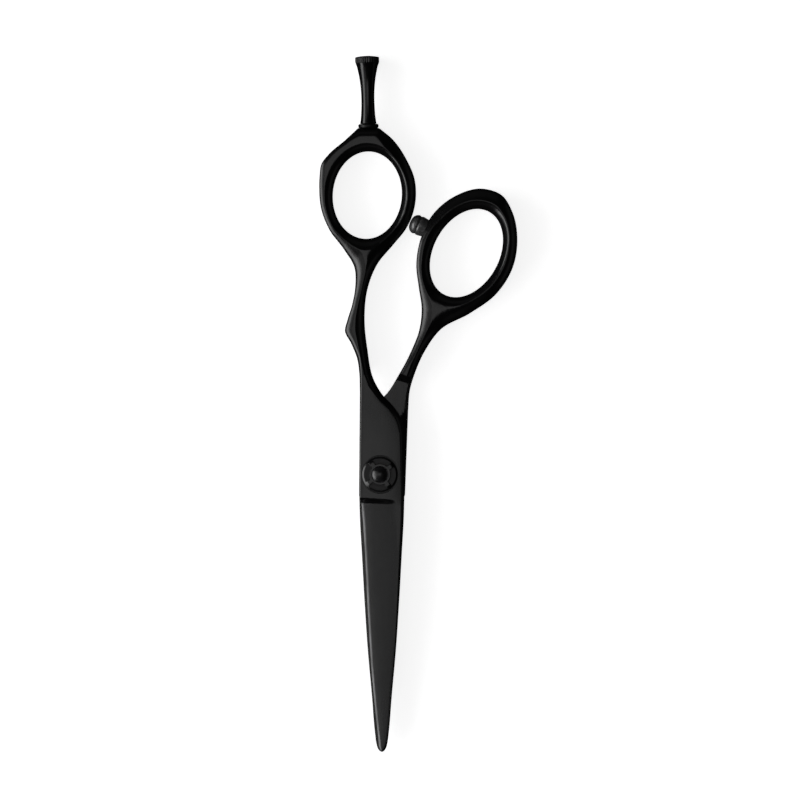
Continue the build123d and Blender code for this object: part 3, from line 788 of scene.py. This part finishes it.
# %% Pivot bolt
NECK_HALF, FLAT_HALF = 2.27, 1.6


def neck_and_flats(angle, radius, height):
    """Cuts the round down to a square on the neck and to two flats on the upper shank.

    Square: radius <= NECK_HALF / max(|cos|, |sin|).  Flats: radius <= FLAT_HALF / |cos|.
    """
    square = NECK_HALF / np.maximum(np.abs(np.cos(angle)), np.abs(np.sin(angle)))
    flats = FLAT_HALF / np.maximum(np.abs(np.cos(angle)), 1e-3)
    on_neck = (height > 1.005) & (height < 2.195)
    on_flats = (height > 4.77) & (height < 5.82)
    limit = np.where(on_neck, square, np.where(on_flats, flats, radius))
    return np.minimum(radius, limit) - radius


DOME_R = 2.91
DOME_TOP = 7.6
dome_turn = np.arcsin(1.9 / DOME_R) * (1 - np.linspace(0, 1, 24))
dome_line = np.stack([DOME_R * np.sin(dome_turn), DOME_TOP - DOME_R * (1 - np.cos(dome_turn))], 1)
bolt_profile = chain([(0.0, 0.1), (2.0, 0.1), (3.75, 0.1)], arc(3.75, 0.3, 0.2, -90, 0, 5),
                     [(3.96, 0.98), (3.2, 1.0), (3.2, 1.01), (3.2, 2.19), (3.2, 2.2),
                      (2.5, 2.21), (2.52, 3.83), (1.95, 3.85), (1.94, 4.76), (1.94, 4.78),
                      (1.94, 5.81), (1.94, 5.83), (1.94, 6.8)], dome_line)
bolt_mesh = mesh_from("pivot_bolt_turned", *turned(bolt_profile, 180, wave=neck_and_flats))
bolt_piece = new_piece("pivot_bolt_turned", bolt_mesh, "thumb_side")
SLOT_CUTTER = [(0, -5.0), (0.4, -5.0), (0.4, 5.0), (0, 5.0)]
cut(bolt_piece, (SLOT_CUTTER, {"sides": 48, "origin": (0, 0, 0.15), "axis": (1, 0, 0)}))
bolt_piece.data.set_sharp_from_angle(angle=math.radians(35))
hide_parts("pivot_bolt")

# %% [markdown]
# ## Tension dial
# A low ring with a chamfered rim, a hub round the bolt and four flat spokes.  The sectors between
# the spokes are sunk and blasted, so they look duller than the spokes.  The top is one height
# field over angle and radius, closed underneath by the same grid.

# %% Dial
DIAL_TOP, DIAL_BOTTOM, DIAL_BORE = 6.85, 5.86, 2.0
SPOKE_ANGLE = 37.0
SPOKE_HALF = 0.55
SECTOR_SINK = 0.3


def dial_sink(radius, angle):
    """How far the top is sunk: full between hub and rim except within a spoke's half width.

    The distance from a spoke's middle line is radius * sin(angle from that line).
    """
    turn = np.radians(45) - np.abs((angle - np.radians(SPOKE_ANGLE)) % np.radians(90) - np.radians(45))
    across = radius * np.sin(turn)
    spoke = step(across, SPOKE_HALF - 0.08, SPOKE_HALF + 0.08)
    return SECTOR_SINK * spoke * step(radius, 2.5, 2.66)


# %% Dial as one loop turned round
DIAL_SIDES = 480
angles = np.linspace(0, 2 * np.pi, DIAL_SIDES, endpoint=False)[:, None]
top_r = np.concatenate([np.linspace(DIAL_BORE + 0.08, 2.45, 6), np.linspace(2.5, 2.66, 6),
                        np.linspace(2.7, 3.85, 12), np.linspace(3.9, 4.34, 7)])[None, :]
rim_fall = 0.65 * np.maximum(top_r - 3.45, 0) * step(top_r, 3.45, 3.6)
top_z = DIAL_TOP - np.maximum(dial_sink(top_r, angles), rim_fall)
wall_r = np.array([4.37, 4.37, 4.32, 4.0, 3.0, DIAL_BORE + 0.03, DIAL_BORE, DIAL_BORE])
wall_z = np.array([6.2, 5.93] + 4 * [DIAL_BOTTOM] + [5.9, DIAL_TOP - 0.08])
all_round = np.ones((DIAL_SIDES, 1))
loop_r = np.concatenate([top_r * all_round, wall_r * all_round], 1)
loop_z = np.concatenate([top_z, wall_z * all_round], 1)
dial_points = np.stack([loop_r * np.cos(angles), loop_r * np.sin(angles), loop_z], -1).reshape(-1, 3)
index = np.arange(len(dial_points)).reshape(DIAL_SIDES, -1)
index = np.concatenate([index, index[:, :1]], 1)
dial_mesh = mesh_from("dial_ring", dial_points, grid_faces(index, closed=True).tolist())
tidy_normals(dial_mesh)
sunk = dial_sink(loop_r, angles) > 0.5 * SECTOR_SINK
blasted = (sunk & (loop_z > 6.3) & (loop_r < 3.95)).reshape(-1)
dial_mesh.attributes.new("blasted", "FLOAT", "POINT").data.foreach_set("value", blasted.astype(float))
dial_mesh.set_sharp_from_angle(angle=math.radians(32))
dial_piece = new_piece("dial_ring", dial_mesh, "dial")
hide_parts("tension_dial")
print("dial vertices:", len(dial_points), "blasted:", int(blasted.sum()))

# %% [markdown]
# ## Finishes
# The coating on the halves is a thin black layer on polished steel: almost no colour of its own
# and a satin gloss.  Wheel polishing leaves very fine lines along the blade, handling leaves faint
# smudges, and the coating is thinnest on crisp edges.  All patterns read Object coordinates.

# %% Material helpers
def finish_named(name, base, rough, metallic=0.0, specular=0.5):
    """A new node material; constants sit on the shader's own sockets."""
    material = bpy.data.materials.new(name)
    material.use_nodes = True
    shader = material.node_tree.nodes["Principled BSDF"]
    shader.inputs["Base Color"].default_value = (*base, 1)
    shader.inputs["Roughness"].default_value = rough
    shader.inputs["Metallic"].default_value = metallic
    shader.inputs["Specular IOR Level"].default_value = specular
    return material, material.node_tree, shader


def pattern(tree, scale, stretch=(1, 1, 1), detail=3.0, kind="ShaderNodeTexNoise"):
    """Noise on Object coordinates; scale is features per metre, stretch lengthens along an axis."""
    place = tree.nodes.new("ShaderNodeTexCoord")
    mapping = tree.nodes.new("ShaderNodeMapping")
    mapping.inputs["Scale"].default_value = [scale * s for s in stretch]
    tree.links.new(place.outputs["Object"], mapping.inputs["Vector"])
    noise = tree.nodes.new(kind)
    noise.inputs["Scale"].default_value = 1.0
    if "Detail" in noise.inputs:
        noise.inputs["Detail"].default_value = detail
    tree.links.new(mapping.outputs["Vector"], noise.inputs["Vector"])
    return noise.outputs[0]


def ranged(tree, value, low, high, new_low, new_high):
    """Map Range node: carries a value from one range to another, clamped."""
    node = tree.nodes.new("ShaderNodeMapRange")
    limits = {"From Min": low, "From Max": high, "To Min": new_low, "To Max": new_high}
    for socket, number in limits.items():
        node.inputs[socket].default_value = number
    tree.links.new(value, node.inputs["Value"])
    return node.outputs["Result"]


def mixed(tree, factor, first, second):
    """Colour between two colours by a factor."""
    node = tree.nodes.new("ShaderNodeMix")
    node.data_type = "RGBA"
    node.inputs["A"].default_value = (*first, 1)
    node.inputs["B"].default_value = (*second, 1)
    tree.links.new(factor, node.inputs["Factor"])
    return node.outputs["Result"]


def calc(tree, operation, first, second):
    """Math node of two inputs; either may be a number."""
    node = tree.nodes.new("ShaderNodeMath")
    node.operation = operation
    node.use_clamp = operation != "MULTIPLY"
    for socket, value in zip(node.inputs, (first, second)):
        if isinstance(value, (int, float)):
            socket.default_value = value
        else:
            tree.links.new(value, socket)
    return node.outputs[0]


def bumped(tree, shader, height, strength, distance):
    """Bump from a height; distance in metres."""
    node = tree.nodes.new("ShaderNodeBump")
    node.inputs["Strength"].default_value = strength
    node.inputs["Distance"].default_value = distance
    tree.links.new(height, node.inputs["Height"])
    tree.links.new(node.outputs["Normal"], shader.inputs["Normal"])


def feed(tree, value, shader, socket):
    """Leads a value into one of the shader's sockets."""
    tree.links.new(value, shader.inputs[socket])


def cloudy(tree, scale, low, high, detail=4.0):
    """A value that wanders between low and high, in patches of the given scale."""
    return ranged(tree, pattern(tree, scale, detail=detail), 0.3, 0.7, low, high)


def dressed(node_or_piece, material):
    """Gives a piece or a carried-over CAD node one material in every slot."""
    if not node_or_piece.material_slots:
        node_or_piece.data.materials.append(material)
    for slot in node_or_piece.material_slots:
        slot.material = material


# %% Black coating of the halves
BLACK, BARE = (0.0035, 0.0035, 0.0038), (0.42, 0.42, 0.43)
coating, tree, shader = finish_named("black_satin_coating", BLACK, 0.24)
polish_lines = pattern(tree, 9000, (1, 0.012, 1), 2.0)
smudges = pattern(tree, 90, (1, 0.6, 1), 4.0)
grain = pattern(tree, 16000, (1, 1, 1), 1.0)
handled = ranged(tree, smudges, 0.35, 0.68, 0.205, 0.27)
lined = ranged(tree, polish_lines, 0.3, 0.7, -0.012, 0.018)
feed(tree, calc(tree, "ADD", handled, lined), shader, "Roughness")
edge_mark = tree.nodes.new("ShaderNodeAttribute")
edge_mark.attribute_name = "bare_edge"
thin_coat = ranged(tree, edge_mark.outputs["Fac"], 0.2, 0.8, 0.0, 1.0)
scuffs = ranged(tree, pattern(tree, 500, (1, 0.3, 1), 4.0), 0.3, 0.6, 0.10, 0.26)
worn = calc(tree, "MULTIPLY", thin_coat, scuffs)
feed(tree, mixed(tree, worn, BLACK, BARE), shader, "Base Color")
feed(tree, worn, shader, "Metallic")
relief = calc(tree, "ADD", calc(tree, "MULTIPLY", polish_lines, 0.6), calc(tree, "MULTIPLY", grain, 0.4))
bumped(tree, shader, relief, 0.06, 4e-6)
for piece in (finger_piece, thumb_piece):
    piece.data.materials.clear()
    dressed(piece, coating)
print("coating on:", finger_piece.name, thumb_piece.name)

# %% [markdown]
# ### Small black parts and the rubber
# The bolt's dome is a little duller than the coating, so its highlight is soft.  The dial's sunk
# sectors are blasted, which a rougher gloss and a fine pitted bump show.  The finger rest keeps
# its turning marks.  Collar and bumper are rubber: dull, slightly grey and cloudy.

# %% Bolt and dial
bolt_finish, tree, shader = finish_named("black_bolt_steel", (0.004, 0.004, 0.0045), 0.24, 0.0, 0.75)
feed(tree, cloudy(tree, 700, 0.29, 0.36), shader, "Roughness")
bumped(tree, shader, pattern(tree, 6000), 0.1, 4e-6)
dressed(bolt_piece, bolt_finish)

dial_finish, tree, shader = finish_named("black_dial", (0.004, 0.004, 0.0043), 0.24)
sector = tree.nodes.new("ShaderNodeAttribute")
sector.attribute_name = "blasted"
dull = ranged(tree, sector.outputs["Fac"], 0.3, 0.7, 0.0, 0.16)
feed(tree, calc(tree, "ADD", cloudy(tree, 900, 0.2, 0.27), dull), shader, "Roughness")
pits = calc(tree, "MULTIPLY", pattern(tree, 9000, detail=1.0), calc(tree, "ADD", dull, 0.04))
bumped(tree, shader, pits, 0.9, 3e-5)
dressed(dial_piece, dial_finish)
print("materials so far:", len(bpy.data.materials))

# %% Rest, collar and bumper
rest_finish, tree, shader = finish_named("black_rest", (0.003, 0.003, 0.0032), 0.18, 0.0, 0.42)
feed(tree, cloudy(tree, 260, 0.15, 0.22), shader, "Roughness")
bumped(tree, shader, pattern(tree, 5000, (0.02, 1, 0.02), 2.0), 0.2, 6e-6)
dressed(rest_piece, rest_finish)

collar_finish, tree, shader = finish_named("black_collar_rubber", (0.003, 0.003, 0.003), 0.45, 0.0, 0.3)
feed(tree, cloudy(tree, 1200, 0.36, 0.5), shader, "Roughness")
bumped(tree, shader, pattern(tree, 5000), 0.3, 1.5e-5)
dressed(collar, collar_finish)

GREY_DARK, GREY_LIGHT = (0.055, 0.055, 0.056), (0.085, 0.085, 0.087)
rubber, tree, shader = finish_named("grey_bumper_rubber", (0.07, 0.07, 0.071), 0.28, 0.0, 0.9)
feed(tree, mixed(tree, pattern(tree, 700, detail=5.0), GREY_DARK, GREY_LIGHT), shader, "Base Color")
feed(tree, cloudy(tree, 1100, 0.24, 0.36), shader, "Roughness")
bumped(tree, shader, pattern(tree, 4000), 0.25, 1.5e-5)
dressed(bumper_piece, rubber)
print("materials so far:", len(bpy.data.materials))

# %% [markdown]
# ### Inner parts
# Bush, bearing, washers and click parts sit inside the pivot.  Their CAD shapes are already right,
# so they only get finishes: ground steel, spring steel, bronze, and a white polymer ride washer.
# One function makes the three metals, because they differ only in colour and polish.

# %% Finishes of the inner parts
def turned_metal(name, colour, worn_colour, rough):
    """Bare metal with turning marks and small stains."""
    metal, tree, shader = finish_named(name, colour, rough, 1.0)
    stains = pattern(tree, 600, detail=5.0)
    stained = ranged(tree, stains, 0.35, 0.75, 0.0, 1.0)
    feed(tree, mixed(tree, stained, colour, worn_colour), shader, "Base Color")
    feed(tree, ranged(tree, stains, 0.3, 0.7, rough - 0.06, rough + 0.08), shader, "Roughness")
    bumped(tree, shader, pattern(tree, 7000, (1, 1, 0.1)), 0.15, 5e-6)
    return metal


ground = turned_metal("ground_steel", (0.52, 0.52, 0.53), (0.42, 0.42, 0.43), 0.22)
spring = turned_metal("spring_steel", (0.30, 0.31, 0.34), (0.22, 0.21, 0.22), 0.3)
bronze = turned_metal("bearing_bronze", (0.55, 0.36, 0.18), (0.40, 0.25, 0.12), 0.34)
WHITE, WHITE_WORN = (0.76, 0.76, 0.74), (0.66, 0.66, 0.63)
polymer, tree, shader = finish_named("white_polymer", (0.72, 0.72, 0.70), 0.42)
feed(tree, mixed(tree, pattern(tree, 900, detail=4.0), WHITE, WHITE_WORN), shader, "Base Color")
bumped(tree, shader, pattern(tree, 6000), 0.15, 8e-6)
INNER_PARTS = [(("bearing_race", "bearing_balls", "thrust_washer", "click_balls"), ground),
               (("spring_washer", "click_plate"), spring),
               (("pivot_bush", "bearing_cage"), bronze),
               (("ride_washer",), polymer)]
for names, material in INNER_PARTS:
    for name in names:
        dressed(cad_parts[name], material)
    print(material.name, "on", *names)

# %% [markdown]
# ## Studio
# A pale floor sweeps up into a pale backdrop.  A broad dim panel hangs overhead and reaches to the
# left, and a brighter soft box stands low on the left.  The other sides get only a faint glow, so
# flanks that face right read as black and the left flanks draw the shape of the shears.

# %% Floor
def sweep_mesh(name):
    """A shallow bowl: flat to 2 m from the middle, then a quarter circle up into a wall."""
    turn = np.linspace(0, np.pi / 2, 14)[1:]
    radius = np.concatenate([np.linspace(0.001, 2000, 12), 2000 + 2500 * np.sin(turn), [4500]])
    height = np.concatenate([np.zeros(12), 2500 * (1 - np.cos(turn)), [6000]]) - 0.05
    angle = np.linspace(0, 2 * np.pi, 72, endpoint=False)[:, None]
    height = height * np.ones_like(angle)
    points = np.stack([radius * np.cos(angle), radius * np.sin(angle), height], -1).reshape(-1, 3)
    index = np.arange(len(points)).reshape(72, -1)
    return mesh_from(name, points, grid_faces(index, closed=True)[:, ::-1].tolist())


floor = bpy.data.objects.new("floor", sweep_mesh("floor"))
bpy.context.collection.objects.link(floor)
floor.visible_glossy = False
floor.visible_diffuse = False
floor_finish, tree, shader = finish_named("pale_floor", (0.8, 0.8, 0.8), 1.0, 0.0, 0.0)
shader.inputs["Emission Color"].default_value = (1, 1, 1, 1)
shader.inputs["Emission Strength"].default_value = 0.86
floor.data.materials.append(floor_finish)
print("floor vertices:", len(floor.data.vertices))

# %% Lights
AIM = (0.0, 0.02, 0.0)


def panel(name, place, aim, width, height, radiance):
    """A rectangular soft box; its power follows from its area and the radiance wanted."""
    light = bpy.data.lights.new(name, "AREA")
    light.shape = "RECTANGLE"
    light.size, light.size_y = width, height
    light.energy = radiance * math.pi * width * height
    box = bpy.data.objects.new(name, light)
    bpy.context.collection.objects.link(box)
    box.location = place
    box.rotation_euler = Vector(np.array(aim) - np.array(place)).to_track_quat("-Z", "Y").to_euler()
    box.visible_camera = False
    return box


def overhead(name, left, right, radiance):
    """A panel hanging level above the bench, from left to right in metres."""
    middle = (left + right) / 2
    return panel(name, (middle, 0.0, 2.2), (middle, 0.0, 0.0), 1.1, right - left, radiance)


overhead("overhead_near", -0.55, 0.14, 0.85)
overhead("overhead_far", -2.3, -0.55, 0.46)
panel("left_high", (-1.15, -0.10, 0.92), AIM, 1.4, 0.34, 1.2)
panel("left_box", (-1.0, -0.12, 0.40), AIM, 1.4, 0.46, 3.8)
panel("right_fill", (1.2, 0.0, 0.16), AIM, 1.6, 0.3, 0.12)
panel("front_fill", (0.0, -1.2, 0.5), AIM, 1.6, 0.5, 0.05)
panel("back_fill", (0.0, 1.2, 0.5), AIM, 1.6, 0.5, 0.05)

world = bpy.data.worlds.new("studio")
bpy.context.scene.world = world
world.use_nodes = True
world.node_tree.nodes["Background"].inputs["Color"].default_value = (0.01, 0.01, 0.01, 1)

# %% Camera, straight above with a long lens
camera_data = bpy.data.cameras.new("camera")
camera = bpy.data.objects.new("camera", camera_data)
bpy.context.collection.objects.link(camera)
VIEW_WIDTH = 196.0
DISTANCE = 1600.0
camera_data.sensor_width = 36
camera_data.lens = 36 * DISTANCE / VIEW_WIDTH
camera_data.clip_end = 20
camera.location = (4.9 * MM, 18.2 * MM, (DISTANCE + HALF) * MM)
bpy.context.scene.camera = camera
bpy.context.scene.view_settings.view_transform = "Standard"
print("lens, mm:", round(camera_data.lens, 1))
